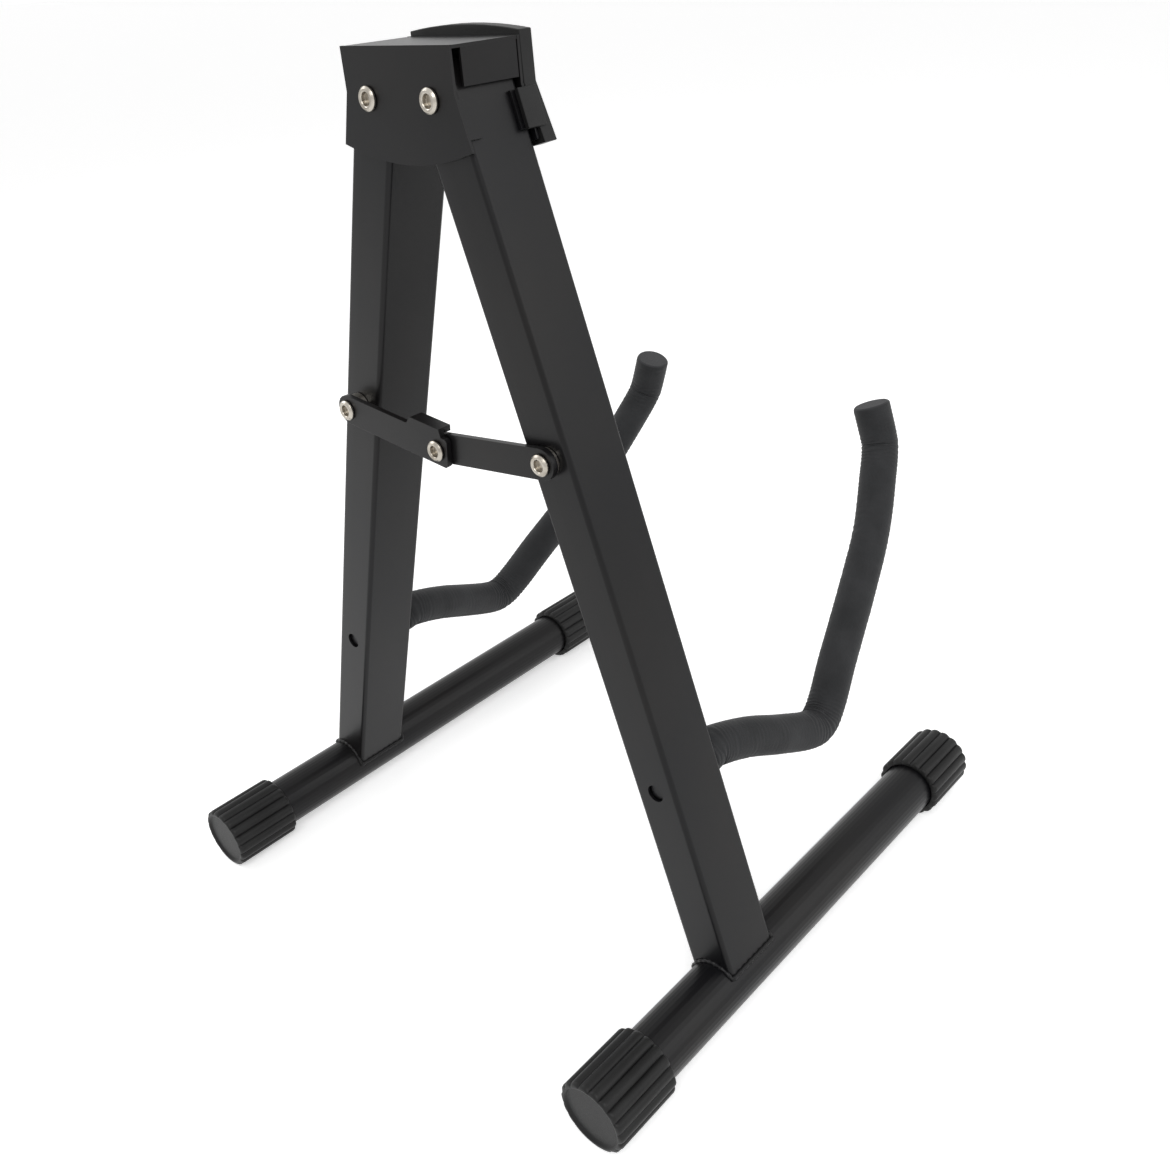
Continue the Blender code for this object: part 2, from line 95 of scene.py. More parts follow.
def set_inputs(node: bpy.types.Node, values: dict[str, float | tuple[float, ...]]) -> None:
    """Sets input sockets of a node.

    Args:
        node: The node.
        values: The values by the sockets' names.
    """
    for socket, value in values.items():
        node.inputs[socket].default_value = value


def link_all(tree: bpy.types.NodeTree, *pairs: tuple[bpy.types.NodeSocket, bpy.types.NodeSocket]) -> None:
    """Links pairs of an output socket and an input socket.

    Args:
        tree: The node tree that holds them.
        pairs: The pairs, output first.
    """
    for source, target in pairs:
        tree.links.new(source, target)


@dataclass(frozen=True)
class SurfaceGroup:
    """A shader node group with named sockets, built once and shared by the finishes."""

    title: ClassVar[str]
    takes: ClassVar[dict[str, Socket]]
    gives: ClassVar[dict[str, Socket]]

    def build(self) -> bpy.types.NodeTree:
        """Builds the group, unless it is there already.

        Returns:
            The node group.
        """
        found = bpy.data.node_groups.get(self.title)
        if found:
            return found
        tree = bpy.data.node_groups.new(self.title, "ShaderNodeTree")
        for way, sockets in (("INPUT", self.takes), ("OUTPUT", self.gives)):
            for label, kind in sockets.items():
                tree.interface.new_socket(name=label, in_out=way, socket_type=kind.value)
        self.fill(tree, tree.nodes.new("NodeGroupInput"), tree.nodes.new("NodeGroupOutput"))
        return tree

    def fill(self, tree: bpy.types.NodeTree, inside: bpy.types.Node, outside: bpy.types.Node) -> None:
        """Adds the nodes between the group's sockets, in each kind of group its own.

        Args:
            tree: The group's node tree.
            inside: The node with the group's inputs.
            outside: The node with the group's outputs.
        """
        raise NotImplementedError


@dataclass(frozen=True)
class GrainGroup(SurfaceGroup):
    """Fine grain for roughness and bump, and broad changes of tone between two colours."""

    title = "surface_grain"
    takes = {
        "Base": Socket.COLOUR,
        "Worn": Socket.COLOUR,
        "Grain Scale": Socket.VALUE,
        "Tone Scale": Socket.VALUE,
        "Rough Low": Socket.VALUE,
        "Rough High": Socket.VALUE,
    }
    gives = {"Colour": Socket.COLOUR, "Roughness": Socket.VALUE, "Height": Socket.VALUE}

    grain_detail: float = 4.0
    tone_detail: float = 3.0
    tone_from: float = 0.35
    tone_to: float = 0.7

    def fill(self, tree: bpy.types.NodeTree, inside: bpy.types.Node, outside: bpy.types.Node) -> None:
        """Adds the two noises, the blend of the colours and the range of roughness.

        Args:
            tree: The group's node tree.
            inside: The node with the group's inputs.
            outside: The node with the group's outputs.
        """
        place = tree.nodes.new("ShaderNodeTexCoord")
        grain = tree.nodes.new("ShaderNodeTexNoise")
        tone = tree.nodes.new("ShaderNodeTexNoise")
        for texture, scale, detail in (
            (grain, "Grain Scale", self.grain_detail),
            (tone, "Tone Scale", self.tone_detail),
        ):
            set_inputs(texture, {"Detail": detail})
            tree.links.new(place.outputs["Object"], texture.inputs["Vector"])
            tree.links.new(inside.outputs[scale], texture.inputs["Scale"])
        spread = tree.nodes.new("ShaderNodeMapRange")
        set_inputs(spread, {"From Min": self.tone_from, "From Max": self.tone_to})
        blend = tree.nodes.new("ShaderNodeMix")
        blend.data_type = "RGBA"
        rough = tree.nodes.new("ShaderNodeMapRange")
        link_all(
            tree,
            (tone.outputs["Fac"], spread.inputs["Value"]),
            (spread.outputs["Result"], blend.inputs["Factor"]),
            (inside.outputs["Base"], blend.inputs["A"]),
            (inside.outputs["Worn"], blend.inputs["B"]),
            (grain.outputs["Fac"], rough.inputs["Value"]),
            (inside.outputs["Rough Low"], rough.inputs["To Min"]),
            (inside.outputs["Rough High"], rough.inputs["To Max"]),
            (blend.outputs["Result"], outside.inputs["Colour"]),
            (rough.outputs["Result"], outside.inputs["Roughness"]),
            (grain.outputs["Fac"], outside.inputs["Height"]),
        )


@dataclass(frozen=True)
class EdgeGroup(SurfaceGroup):
    """A colour that goes over to an edge colour at the surface's outward corners."""

    title = "edge_wear"
    takes = {"Colour": Socket.COLOUR, "Edge": Socket.COLOUR, "Amount": Socket.VALUE}
    gives = {"Colour": Socket.COLOUR}

    corner_from: float = 0.53
    corner_to: float = 0.62

    def fill(self, tree: bpy.types.NodeTree, inside: bpy.types.Node, outside: bpy.types.Node) -> None:
        """Adds the mask of the corners and the blend of the colours.

        Args:
            tree: The group's node tree.
            inside: The node with the group's inputs.
            outside: The node with the group's outputs.
        """
        geometry = tree.nodes.new("ShaderNodeNewGeometry")
        mask = tree.nodes.new("ShaderNodeMapRange")
        set_inputs(mask, {"From Min": self.corner_from, "From Max": self.corner_to})
        amount = tree.nodes.new("ShaderNodeMath")
        amount.operation = "MULTIPLY"
        blend = tree.nodes.new("ShaderNodeMix")
        blend.data_type = "RGBA"
        link_all(
            tree,
            (geometry.outputs["Pointiness"], mask.inputs["Value"]),
            (mask.outputs["Result"], amount.inputs[0]),
            (inside.outputs["Amount"], amount.inputs[1]),
            (amount.outputs["Value"], blend.inputs["Factor"]),
            (inside.outputs["Colour"], blend.inputs["A"]),
            (inside.outputs["Edge"], blend.inputs["B"]),
            (blend.outputs["Result"], outside.inputs["Colour"]),
        )


@dataclass(frozen=True)
class Finish:
    """One surface finish; scales are counts per metre and the bump's depth is in metres."""

    name: str
    slot: str
    base: Triple
    worn: Triple
    edge: Triple
    rough: tuple[float, float]
    grain_scale: float
    tone_scale: float
    bump: float
    bump_depth: float
    metallic: float = 0.0
    sheen: float = 0.0
    edge_amount: float = 0.5
    specular: float = 0.5

    def material(self) -> bpy.types.Material:
        """Makes the finish's material, unless it is there already.

        Returns:
            The finish as a node material.
        """
        found = bpy.data.materials.get(self.name)
        if found:
            return found
        mat = bpy.data.materials.new(self.name)
        mat.use_nodes = True
        nodes = mat.node_tree.nodes
        grain = nodes.new("ShaderNodeGroup")
        grain.node_tree = GrainGroup().build()
        set_inputs(grain, {
            "Base": (*self.base, 1),
            "Worn": (*self.worn, 1),
            "Grain Scale": self.grain_scale,
            "Tone Scale": self.tone_scale,
            "Rough Low": self.rough[0],
            "Rough High": self.rough[1],
        })
        edges = nodes.new("ShaderNodeGroup")
        edges.node_tree = EdgeGroup().build()
        set_inputs(edges, {"Edge": (*self.edge, 1), "Amount": self.edge_amount})
        bump = nodes.new("ShaderNodeBump")
        set_inputs(bump, {"Strength": self.bump, "Distance": self.bump_depth})
        shader = nodes["Principled BSDF"]
        set_inputs(shader, {
            "Metallic": self.metallic,
            "Specular IOR Level": self.specular,
            "Sheen Weight": self.sheen,
        })
        link_all(
            mat.node_tree,
            (grain.outputs["Colour"], edges.inputs["Colour"]),
            (edges.outputs["Colour"], shader.inputs["Base Color"]),
            (grain.outputs["Roughness"], shader.inputs["Roughness"]),
            (grain.outputs["Height"], bump.inputs["Height"]),
            (bump.outputs["Normal"], shader.inputs["Normal"]),
        )
        return mat


POWDER_COAT = Finish(
    name="satin_powder_coat",
    slot="black_powder_coat",
    base=(0.0035, 0.0035, 0.0042),
    worn=(0.0065, 0.0058, 0.0056),
    edge=(0.02, 0.02, 0.022),
    rough=(0.26, 0.40),
    grain_scale=2600.0,
    tone_scale=18.0,
    bump=0.18,
    bump_depth=0.00012,
    edge_amount=0.1,
    specular=0.2,
)
NICKEL = Finish(
    name="bright_nickel",
    slot="nickel",
    base=(0.46, 0.43, 0.38),
    worn=(0.28, 0.25, 0.21),
    edge=(0.62, 0.60, 0.56),
    rough=(0.22, 0.38),
    grain_scale=1800.0,
    tone_scale=160.0,
    bump=0.15,
    bump_depth=0.0001,
    metallic=1.0,
)
RUBBER = Finish(
    name="moulded_rubber",
    slot="rubber",
    base=(0.006, 0.006, 0.006),
    worn=(0.012, 0.012, 0.012),
    edge=(0.03, 0.03, 0.03),
    rough=(0.36, 0.55),
    grain_scale=1500.0,
    tone_scale=40.0,
    bump=0.25,
    bump_depth=0.00015,
    edge_amount=0.3,
    specular=0.2,
)
FOAM = Finish(
    name="charcoal_foam",
    slot="foam",
    base=(0.012, 0.0125, 0.0135),
    worn=(0.022, 0.0225, 0.024),
    edge=(0.04, 0.04, 0.043),
    rough=(0.58, 0.80),
    grain_scale=1400.0,
    tone_scale=60.0,
    bump=0.45,
    bump_depth=0.0003,
    sheen=0.08,
    specular=0.2,
)


def add_object(name: str, data: bpy.types.ID) -> bpy.types.Object:
    """Adds an object with this data to the scene.

    Args:
        name: The object's name.
        data: Its mesh, light or camera.

    Returns:
        The new object.
    """
    item = bpy.data.objects.new(name, data)
    bpy.context.scene.collection.objects.link(item)
    return item


def new_piece(
    name: str, bm: bmesh.types.BMesh, finish: Finish, body: str, sharp: float = 60.0
) -> bpy.types.Object:
    """Turns a bmesh into a finished piece that rides on a body.

    Args:
        name: The piece's name.
        bm: The shape in the frame's metres; it is freed.
        finish: The surface finish.
        body: The body that carries the piece.
        sharp: Edges above this angle in degrees stay sharp.

    Returns:
        The new object.
    """
    mesh = bpy.data.meshes.new(name)
    bmesh.ops.recalc_face_normals(bm, faces=bm.faces)
    bm.to_mesh(mesh)
    bm.free()
    mesh.materials.append(finish.material())
    mesh.shade_smooth()
    mesh.set_sharp_from_angle(angle=math.radians(sharp))
    piece = add_object(name, mesh)
    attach(piece, body)
    LOG.info("piece %s: %d faces", name, len(mesh.polygons))
    return piece


def join_rings(bm: bmesh.types.BMesh, rings: list[Ring], closed: bool = False) -> None:
    """Joins neighbouring rings with faces.

    Args:
        bm: The shape to add to.
        rings: Rings of equally many vertices; one vertex over and over is a point.
        closed: Whether the last ring also joins the first.
    """
    onward = rings[1:] + rings[:1] if closed else rings[1:]
    for low, high in zip(rings, onward):
        for k in range(len(low)):
            n = (k + 1) % len(low)
            corners = (low[k], low[n], high[n], high[k])
            bm.faces.new(list(dict.fromkeys(corners)))


def spline(p: float, q: float, r: float, s: float, t: float) -> float:
    """Works out a place on a smooth curve through four evenly spaced values.

    Args:
        p: The value before the span.
        q: The value at the span's start.
        r: The value at the span's end.
        s: The value after the span.
        t: The share of the span.

    Returns:
        The value at that share.
    """
    return 0.5 * (
        2 * q + (r - p) * t + (2 * p - 5 * q + 4 * r - s) * t**2 + (3 * q - p - 3 * r + s) * t**3
    )


@dataclass
class RoundedPart:
    """A hard part whose corners are softened, standing for its node."""

    node: str
    finish: Finish
    radius: float
    segments: int = 2
    corner_angle: float = 35.0
    flat_angle: float = 1.0
    sharp: float = 50.0
    merge_distance: float = 0.00001
    face_weight: int = 100

    def build(self, body: str) -> bpy.types.Object:
        """Builds the softened copy of the node's shape.

        Args:
            body: The body that carries the part.

        Returns:
            The new object.
        """
        bm = bmesh.new()
        bm.from_mesh(frame["nodes"][self.node].data)
        bmesh.ops.remove_doubles(bm, verts=bm.verts, dist=self.merge_distance)
        bmesh.ops.dissolve_limit(
            bm, angle_limit=math.radians(self.flat_angle), verts=bm.verts, edges=bm.edges,
            use_dissolve_boundaries=False,
        )
        corner = math.radians(self.corner_angle)
        edges = [e for e in bm.edges if len(e.link_faces) == 2 and e.calc_face_angle(0) > corner]
        bmesh.ops.bevel(
            bm, geom=edges, offset=self.radius, segments=self.segments, profile=0.5, affect="EDGES",
            clamp_overlap=True,
        )
        piece = new_piece(self.node + "_shell", bm, self.finish, body, self.sharp)
        even = piece.modifiers.new("even_normals", "WEIGHTED_NORMAL")
        even.weight = self.face_weight
        even.keep_sharp = True
        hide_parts(self.node)
        return piece


@dataclass(frozen=True)
class LegPlane:
    """Where one leg hangs: its tube's size and the places of its hinge and foot."""

    side: Side
    hinge_height: float = 0.363
    hinge_half: float = 0.0165
    foot_half: float = 0.1275
    foot_axis: float = 0.0156
    rear_face: float = 0.0693
    depth: float = 0.0293
    width: float = 0.0214

    @property
    def spread(self) -> float:
        """The leg's angle from upright."""
        return math.atan2(self.foot_half - self.hinge_half, self.hinge_height - self.foot_axis)

    @property
    def foot_drop(self) -> float:
        """The way along the leg from hinge to foot tube axis."""
        return (self.hinge_height - self.foot_axis) / math.cos(self.spread)

    def matrix(self) -> Matrix:
        """The leg's own frame: its origin at the hinge on the rear face, its z up along the leg."""
        place = Matrix.Translation((self.side.value * self.hinge_half, self.rear_face, self.hinge_height))
        return place @ Matrix.Rotation(-self.side.value * self.spread, 4, "Y")


@dataclass(frozen=True)
class Creases:
    """How the foam's skin wrinkles.

    Depth and swell are shares of the foam's radius, and all_over, bend_gain and outer_share set how much of
    the depth shows. Pitch is in radians per metre, wander in radians, and scales are counts per metre.
    """

    depth: float = 0.065
    all_over: float = 0.2
    bend_gain: float = 2.8
    outer_share: float = 0.25
    pitch: float = 2900.0
    wander: float = 5.0
    wander_scale: float = 180.0
    wander_around: float = 1.3
    swell: float = 0.012
    swell_scale: float = 60.0

    def relief(self, way: float, angle: float, bend: float, shift: float) -> float:
        """Works out how far the skin stands off the plain sleeve.

        Args:
            way: The way along the arm in metres.
            angle: The angle around the arm, from the side that a positive bend turns to.
            bend: The sine of the arm's turn there.
            shift: Moves the swells, so that the two sleeves differ.

        Returns:
            The height as a share of the radius, below nought in a crease.
        """
        across = math.cos(angle)
        up = math.sin(angle)
        inner = max(0.0, across * (1 if bend > 0 else -1))
        at_bend = abs(bend) * self.bend_gain * (self.outer_share + (1 - self.outer_share) * inner)
        crease = min(self.all_over + at_bend, 1.0)
        spot = Vector((way * self.wander_scale, across * self.wander_around, up * self.wander_around))
        ripple = 0.5 + 0.5 * math.sin(way * self.pitch + self.wander * noise.noise(spot))
        swell = noise.noise(Vector((way * self.swell_scale, across, up + shift)))
        return self.swell * swell - self.depth * crease * ripple


@dataclass
class ArmFoam:
    """The foam sleeve over one arm.

    The centreline starts at the leg, dips to a bend half way out and rises to a kink at full reach. The
    steps are y and drop in metres, from the leg's front face at the arm's exit, the bend and the kink.
    """

    plane: LegPlane
    creases: Creases = Creases()
    radius: float = 0.009
    reach: float = 0.2106
    exit_drop: float = 0.2698
    bend_drop: float = 0.2965
    kink_drop: float = 0.1970
    exit_steps: Pairs = ((-0.0003, 0.0), (-0.004, 0.0), (-0.010, 0.0), (-0.030, 0.007))
    bend_steps: Pairs = (
        (0.026, -0.010), (0.006, -0.001), (-0.004, 0.0), (-0.014, -0.006),
        (-0.030, -0.02047), (-0.055, -0.04154), (-0.080, -0.06485),
    )
    kink_steps: Pairs = ((0.008, 0.0105), (0.0016, 0.0), (0.0, -0.0065), (0.0, -0.0234))
    per_span: int = 26
    bend_points: int = 18
    around: int = 40
    rim_length: float = 0.0014
    rim_fall: float = 0.10
    tip_inset: float = 0.0008

    def keys(self) -> list[tuple[float, float]]:
        """Lists the points that the centreline runs through.

        Returns:
            The points as y and drop along the leg, from the leg to the tip.
        """
        stretches = (
            (-self.plane.depth, self.exit_drop, self.exit_steps),
            (-self.reach / 2, self.bend_drop, self.bend_steps),
            (-self.reach, self.kink_drop, self.kink_steps),
        )
        return [(y + out, drop + fall) for y, drop, steps in stretches for out, fall in steps]

    def centreline(self) -> list[Vector]:
        """Works out smooth points along the arm.

        Returns:
            The points in the leg's own frame, from the leg to the tip.
        """
        keys = self.keys()
        last = len(keys) - 1
        points = []
        for i in range(last):
            span = (keys[max(i - 1, 0)], keys[i], keys[i + 1], keys[min(i + 2, last)])
            for k in range(self.per_span):
                y, drop = (spline(*values, k / self.per_span) for values in zip(*span))
                points.append(Vector((0, y, -drop)))
        points.append(Vector((0, keys[last][0], -keys[last][1])))
        return points

    def bend_at(self, line: list[Vector], i: int) -> float:
        """Works out how sharply the arm turns at a point.

        Args:
            line: The centreline.
            i: The point's number.

        Returns:
            The sine of the turn between the stretches before and after the point, nought at the ends.
        """
        before = line[i] - line[max(i - self.bend_points, 0)]
        after = line[min(i + self.bend_points, len(line) - 1)] - line[i]
        if before.length == 0 or after.length == 0:
            return 0.0
        return before.normalized().cross(after.normalized()).x

    def build(self) -> bpy.types.Object:
        """Builds the sleeve with creases on the inner side of its bends, standing for its node.

        Returns:
            The new object.
        """
        side = self.plane.side
        world = self.plane.matrix()
        across = Vector((1, 0, 0))
        line = self.centreline()
        last = len(line) - 1
        ways = list(accumulate(((b - a).length for a, b in zip(line, line[1:])), initial=0.0))
        bm = bmesh.new()
        rings = []
        for i, (point, way) in enumerate(zip(line, ways)):
            ahead = (line[min(i + 1, last)] - line[max(i - 1, 0)]).normalized()
            normal = Vector((0, -ahead.z, ahead.y))
            bend = self.bend_at(line, i)
            near_end = min(way, ways[last] - way)
            rim = 1 - self.rim_fall * max(0.0, 1 - near_end / self.rim_length) ** 2
            ring = []
            for k in range(self.around):
                angle = 2 * math.pi * k / self.around
                radius = self.radius * (rim + self.creases.relief(way, angle, bend, side.value))
                offset = normal * math.cos(angle) * radius + across * math.sin(angle) * radius
                ring.append(bm.verts.new(world @ (point + offset)))
            rings.append(ring)
        join_rings(bm, rings)
        bm.faces.new(rings[0])
        tip = bm.faces.new(rings[-1])
        bmesh.ops.inset_individual(bm, faces=[tip], thickness=self.tip_inset)
        piece = new_piece(side.word + "_foam_sleeve", bm, FOAM, side.leg_body)
        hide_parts(side.word + "_arm_foam")
        return piece


@dataclass
class WeldBead:
    """The bead where one leg sits on its foot tube.

    Lift, lump and grit are shares of the bead's radius, and lump_step is in radians from point to point.
    """

    plane: LegPlane
    tube_radius: float = 0.0125
    radius: float = 0.0011
    lift: float = 0.3
    lump: float = 0.22
    lump_step: float = 1.9
    grit: float = 0.1
    grit_scale: float = 900.0
    per_edge: int = 26
    around: int = 8

    def centres(self) -> list[Vector]:
        """Works out the line on which the leg's outline meets the foot tube.

        Returns:
            Points around the leg in its own frame.
        """
        half = self.plane.width / 2
        depth = self.plane.depth
        corners = [(half, 0), (-half, 0), (-half, -depth), (half, -depth)]
        points = []
        for (x0, y0), (x1, y1) in zip(corners, corners[1:] + corners[:1]):
            for k in range(self.per_edge):
                t = k / self.per_edge
                x = x0 + (x1 - x0) * t
                y = y0 + (y1 - y0) * t
                rise = math.sqrt(self.tube_radius**2 - x * x)
                points.append(Vector((x, y, rise - self.plane.foot_drop + self.radius * self.lift)))
        return points

    def build(self) -> bpy.types.Object:
        """Builds the bead as a lumpy ring.

        Returns:
            The new object.
        """
        centres = self.centres()
        world = self.plane.matrix()
        bm = bmesh.new()
        rings = []
        for i, centre in enumerate(centres):
            ahead = (centres[(i + 1) % len(centres)] - centres[i - 1]).normalized()
            across = ahead.cross(Vector((0, 0, 1))).normalized()
            up = across.cross(ahead)
            grit = self.grit * noise.noise(centre * self.grit_scale)
            size = self.radius * (1 + self.lump * math.sin(i * self.lump_step) + grit)
            ring = []
            for k in range(self.around):
                angle = 2 * math.pi * k / self.around
                point = centre + across * size * math.cos(angle) + up * size * math.sin(angle)
                ring.append(bm.verts.new(world @ point))
            rings.append(ring)
        join_rings(bm, rings, closed=True)
        side = self.plane.side
        return new_piece(side.word + "_weld_bead", bm, POWDER_COAT, side.leg_body)


@dataclass
class Cap:
    """One fluted rubber cap on the end of a foot tube.

    The outline is turned about the tube's axis. Its steps are depth, radius and the share of the flutes'
    depth that shows, from the closed end's dish and corner and from the open end's corner and bore. The
    fields that end in share are shares of the dish's radius and depth and of the cap's length.
    """

    side: Side
    end: End
    centre: Triple
    radius: float = 0.016
    bore: float = 0.0128
    length: float = 0.0337
    rim: float = 0.0028
    recess: float = 0.0011
    dish_steps: Triples = ((0.0002, 0.0002, 0.0), (0.0, 0.0007, 0.0))
    dish_edge: float = 0.0006
    dish_flat_share: float = 0.9
    dish_wall_share: float = 0.6
    bore_share: float = 0.5
    closed_steps: Triples = ((0.0001, -0.0012, 0.3), (0.0007, -0.0003, 0.8), (0.0016, 0.0, 1.0))
    open_steps: Triples = ((-0.0016, 0.0, 1.0), (-0.0005, -0.0003, 0.9), (0.0, -0.0009, 0.6))
    bore_steps: Triples = ((0.0, 0.0003, 0.0), (-0.0006, 0.0, 0.0))
    flutes: int = 18
    flute_depth: float = 0.0014
    flute_power: float = 0.6
    flute_points: int = 10
    plain_below: float = -0.85

    def outline(self) -> list[Triple]:
        """Works out the turned outline, from the middle of the closed end to inside the bore.

        Returns:
            Points as depth from the closed end, radius and share of the flutes' depth.
        """
        inner = self.radius - self.rim
        points = [
            (self.recess, 0.0, 0.0),
            (self.recess, inner * self.dish_flat_share, 0.0),
            (self.recess, inner - self.dish_edge, 0.0),
            (self.recess * self.dish_wall_share, inner, 0.0),
        ]
        for depth, radius, steps in (
            (0.0, inner, self.dish_steps),
            (0.0, self.radius, self.closed_steps),
            (self.length, self.radius, self.open_steps),
            (self.length, self.bore, self.bore_steps),
        ):
            points += [(depth + onward, radius + out, share) for onward, out, share in steps]
        points.append((self.length * self.bore_share, self.bore, 0.0))
        return points

    def flute_cut(self, angle: float) -> float:
        """Works out how deep the flutes cut in; the underside that stands on the floor has none.

        Args:
            angle: The angle around the cap.

        Returns:
            The depth in metres.
        """
        if math.sin(angle) < self.plain_below:
            return 0.0
        lobe = abs(math.cos(angle * self.flutes / 2)) ** self.flute_power
        return self.flute_depth * (1 - lobe)

    def build(self) -> bpy.types.Object:
        """Builds the cap with a flat underside, standing for its node.

        Returns:
            The new object.
        """
        centre_x, end_y, axis_z = self.centre
        count = self.flutes * self.flute_points
        bm = bmesh.new()
        rings = []
        for depth, radius, share in self.outline():
            y = end_y + self.end.value * depth
            if radius == 0.0:
                rings.append([bm.verts.new((centre_x, y, axis_z))] * count)
                continue
            ring = []
            for k in range(count):
                angle = 2 * math.pi * k / count
                reach = radius - self.flute_cut(angle) * share
                z = max(reach * math.sin(angle), -axis_z)
                ring.append(bm.verts.new((centre_x + reach * math.cos(angle), y, axis_z + z)))
            rings.append(ring)
        join_rings(bm, rings)
        name = f"{self.side.word}_{self.end.word}"
        piece = new_piece(name + "_fluted_cap", bm, RUBBER, self.side.leg_body, 55.0)
        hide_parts(name + "_cap")
        return piece


@dataclass
class Leg:
    """One leg with its tube, weld, arm foam and caps; the foot's ends are y from the rear face."""

    plane: LegPlane
    edge_radius: float = 0.0004
    foot_rear: float = 0.081
    foot_front: float = -0.1984

    def build(self) -> None:
        """Builds every detail of the leg."""
        plane = self.plane
        side = plane.side
        ArmFoam(plane).build()
        WeldBead(plane).build()
        RoundedPart(side.word + "_leg_tube", POWDER_COAT, self.edge_radius).build(side.leg_body)
        for end, end_y in ((End.REAR, self.foot_rear), (End.FRONT, self.foot_front)):
            centre = (side.value * plane.foot_half, plane.rear_face + end_y, plane.foot_axis)
            Cap(side, end, centre).build()


@dataclass
class Head:
    """The bracket and its rubber pad."""

    fold_radius: float = 0.00045
    pad_radius: float = 0.0011
    pad_segments: int = 3

    def build(self) -> None:
        """Builds the softened bracket and pad."""
        RoundedPart("hinge_bracket", POWDER_COAT, self.fold_radius).build("bracket")
        RoundedPart("rest_pad", RUBBER, self.pad_radius, self.pad_segments).build("bracket")


@dataclass
class Brace:
    """The two lapped links, and the rivets that show with the bodies that carry them."""

    edge_radius: float = 0.0004
    rivet_radius: float = 0.00015
    rivets: tuple[tuple[str, str], ...] = (
        ("left_link_rivet_head", "left_link"),
        ("centre_link_rivet", "left_link"),
        ("right_link_rivet", "right_leg"),
        ("left_hinge_rivet", "bracket"),
        ("right_hinge_rivet", "bracket"),
    )

    def build(self) -> None:
        """Builds the softened links and rivets."""
        for side in Side:
            link = side.word + "_link"
            RoundedPart(link, POWDER_COAT, self.edge_radius).build(link)
        for node, body in self.rivets:
            RoundedPart(node, NICKEL, self.rivet_radius).build(body)


def seen_strength(tree: bpy.types.NodeTree, lighting: float, seen: float) -> bpy.types.NodeSocket:
    """Adds a strength that has one value for lighting the object and another for being seen.

    Args:
        tree: The node tree to add to.
        lighting: The strength for rays that light a surface.
        seen: The strength for rays from the camera, a glossy surface or a clear one.

    Returns:
        The output socket with the strength.
    """
    rays = tree.nodes.new("ShaderNodeLightPath")
    mask = rays.outputs["Is Camera Ray"]
    for kind in ("Is Glossy Ray", "Is Transmission Ray"):
        either = tree.nodes.new("ShaderNodeMath")
        either.operation = "MAXIMUM"
        link_all(tree, (mask, either.inputs[0]), (rays.outputs[kind], either.inputs[1]))
        mask = either.outputs["Value"]
    level = tree.nodes.new("ShaderNodeMapRange")
    set_inputs(level, {"To Min": lighting, "To Max": seen})
    tree.links.new(mask, level.inputs["Value"])
    return level.outputs["Result"]


@dataclass(frozen=True)
class Lamp:
    """One soft square lamp, in metres and watts."""

    name: str
    place: Triple
    size: float
    power: float

    def build(self, aim: Triple) -> None:
        """Adds the lamp, turned to a point.

        Args:
            aim: The point in metres.
        """
        data = bpy.data.lights.new(self.name, "AREA")
        data.size = self.size
        data.energy = self.power
        item = add_object(self.name, data)
        item.location = self.place
        item.rotation_euler = (Vector(aim) - Vector(self.place)).to_track_quat("-Z", "Y").to_euler()


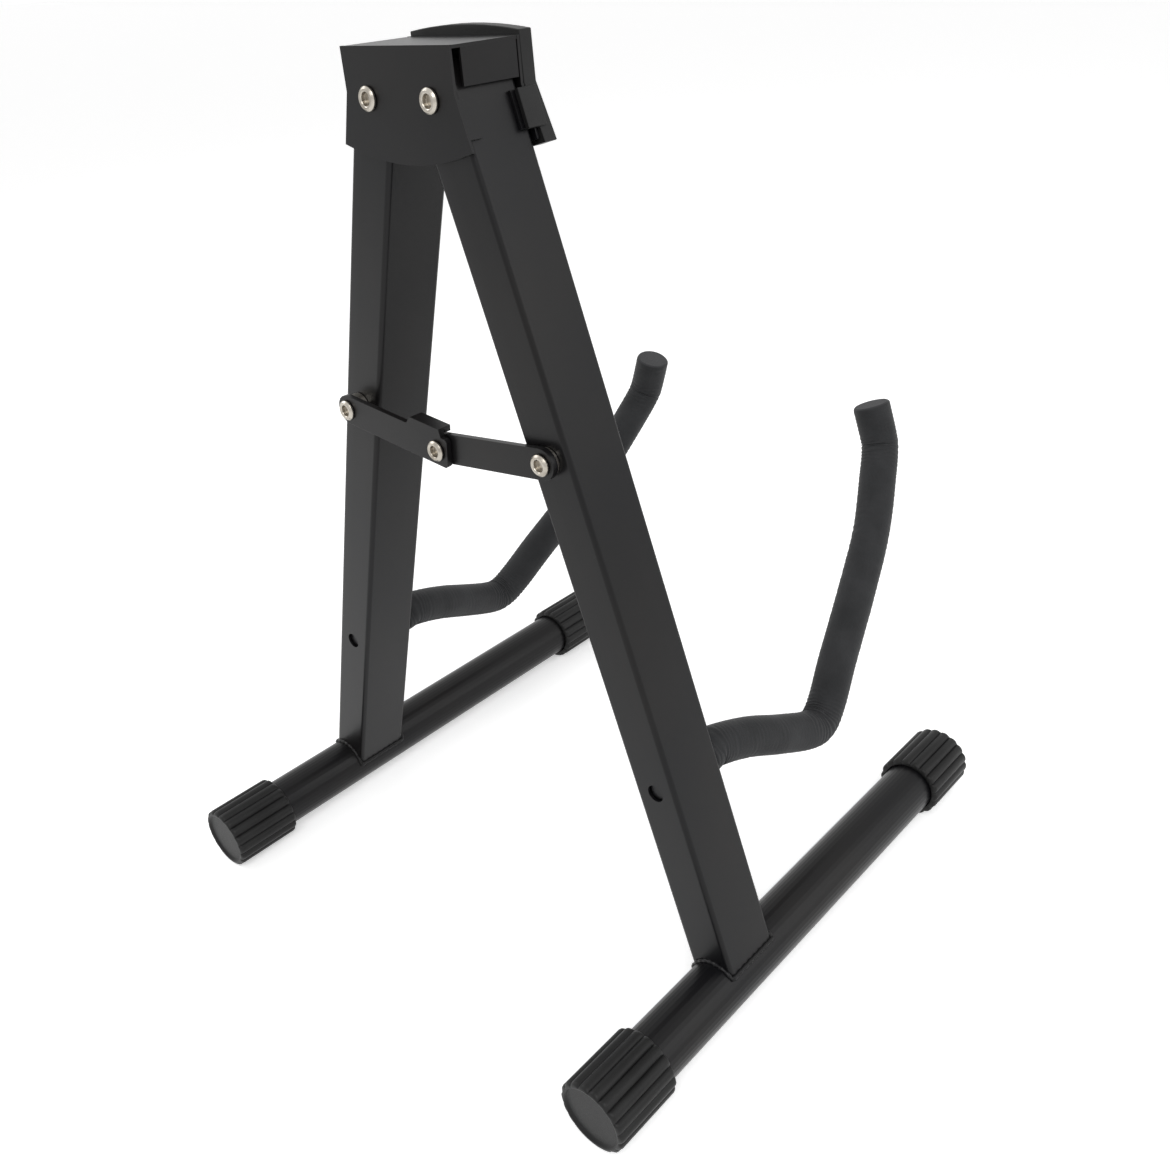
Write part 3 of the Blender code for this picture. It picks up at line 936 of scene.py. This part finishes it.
@dataclass
class Studio:
    """Camera, floor, surroundings and lamps; angles are in radians and the sensor is in millimetres."""

    place: Triple = (-0.3340, 0.3398, 0.4051)
    yaw: float = -0.795
    pitch: float = -0.512
    roll: float = -0.082
    focal_pixels: float = 1140.7
    image_height: float = 1173.0
    sensor: float = 36.0
    floor_half: float = 40.0
    floor_cells: int = 8
    floor_grey: float = 0.93
    floor_rough: float = 0.8
    floor_seen: float = 0.42
    sky_light: float = 0.55
    sky_seen: float = 1.0
    lamp_aim: Triple = (0.0, 0.0, 0.18)
    lamps: tuple[Lamp, ...] = (
        Lamp("key", (-0.9, 0.9, 1.5), 0.9, 14.0),
        Lamp("fill", (-1.4, -0.6, 0.9), 1.2, 7.0),
        Lamp("rim", (1.3, 0.5, 1.1), 0.8, 7.0),
    )

    def camera(self) -> None:
        """Places the camera at the photograph's viewing angle."""
        level = math.cos(self.pitch)
        ahead = Vector((level * math.cos(self.yaw), level * math.sin(self.yaw), math.sin(self.pitch)))
        right = ahead.cross(Vector((0, 0, 1))).normalized()
        up = right.cross(ahead)
        turned_right = math.cos(self.roll) * right + math.sin(self.roll) * up
        turned_up = -math.sin(self.roll) * right + math.cos(self.roll) * up
        data = bpy.data.cameras.new("camera")
        data.sensor_width = self.sensor
        data.lens = self.focal_pixels / self.image_height * self.sensor
        item = add_object("camera", data)
        turn = Matrix((turned_right, turned_up, -ahead)).transposed().to_4x4()
        item.matrix_world = Matrix.Translation(self.place) @ turn
        bpy.context.scene.camera = item

    def floor(self) -> None:
        """Adds the pale floor, which glows a little where it is seen."""
        bm = bmesh.new()
        bmesh.ops.create_grid(
            bm, x_segments=self.floor_cells, y_segments=self.floor_cells, size=self.floor_half
        )
        mesh = bpy.data.meshes.new("studio_floor")
        bm.to_mesh(mesh)
        bm.free()
        mat = bpy.data.materials.new("pale_floor")
        mat.use_nodes = True
        shader = mat.node_tree.nodes["Principled BSDF"]
        set_inputs(shader, {
            "Base Color": (self.floor_grey, self.floor_grey, self.floor_grey, 1),
            "Roughness": self.floor_rough,
            "Emission Color": WHITE,
        })
        strength = seen_strength(mat.node_tree, 0.0, self.floor_seen)
        mat.node_tree.links.new(strength, shader.inputs["Emission Strength"])
        mesh.materials.append(mat)
        item = add_object("studio_floor", mesh)

    def surroundings(self) -> None:
        """Adds the white surroundings and the even light from them."""
        world = bpy.data.worlds.new("studio")
        world.use_nodes = True
        back = world.node_tree.nodes["Background"]
        set_inputs(back, {"Color": WHITE})
        strength = seen_strength(world.node_tree, self.sky_light, self.sky_seen)
        world.node_tree.links.new(strength, back.inputs["Strength"])
        bpy.context.scene.world = world

    def build(self) -> None:
        """Builds the whole studio."""
        self.camera()
        self.floor()
        self.surroundings()
        for lamp in self.lamps:
            lamp.build(self.lamp_aim)


def dress_nodes() -> None:
    """Gives every node of the frame the finish of its material slot."""
    finishes = {finish.slot: finish for finish in (POWDER_COAT, NICKEL, RUBBER, FOAM)}
    slots = {row["node"]: row["material_slot"] for row in frame["record"]["subparts"]}
    for name, item in frame["nodes"].items():
        finish = finishes[slots[name]]
        item.data.materials.clear()
        item.data.materials.append(finish.material())
        LOG.info("node %s: %s", name, finish.name)


def main() -> None:
    """Builds the stand's looks in order."""
    logging.basicConfig(level=logging.INFO)
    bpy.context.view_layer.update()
    Studio().build()
    dress_nodes()
    for side in Side:
        Leg(LegPlane(side)).build()
    Head().build()
    Brace().build()
    bpy.context.scene.view_settings.view_transform = "Standard"


if __name__ == "__main__":
    main()
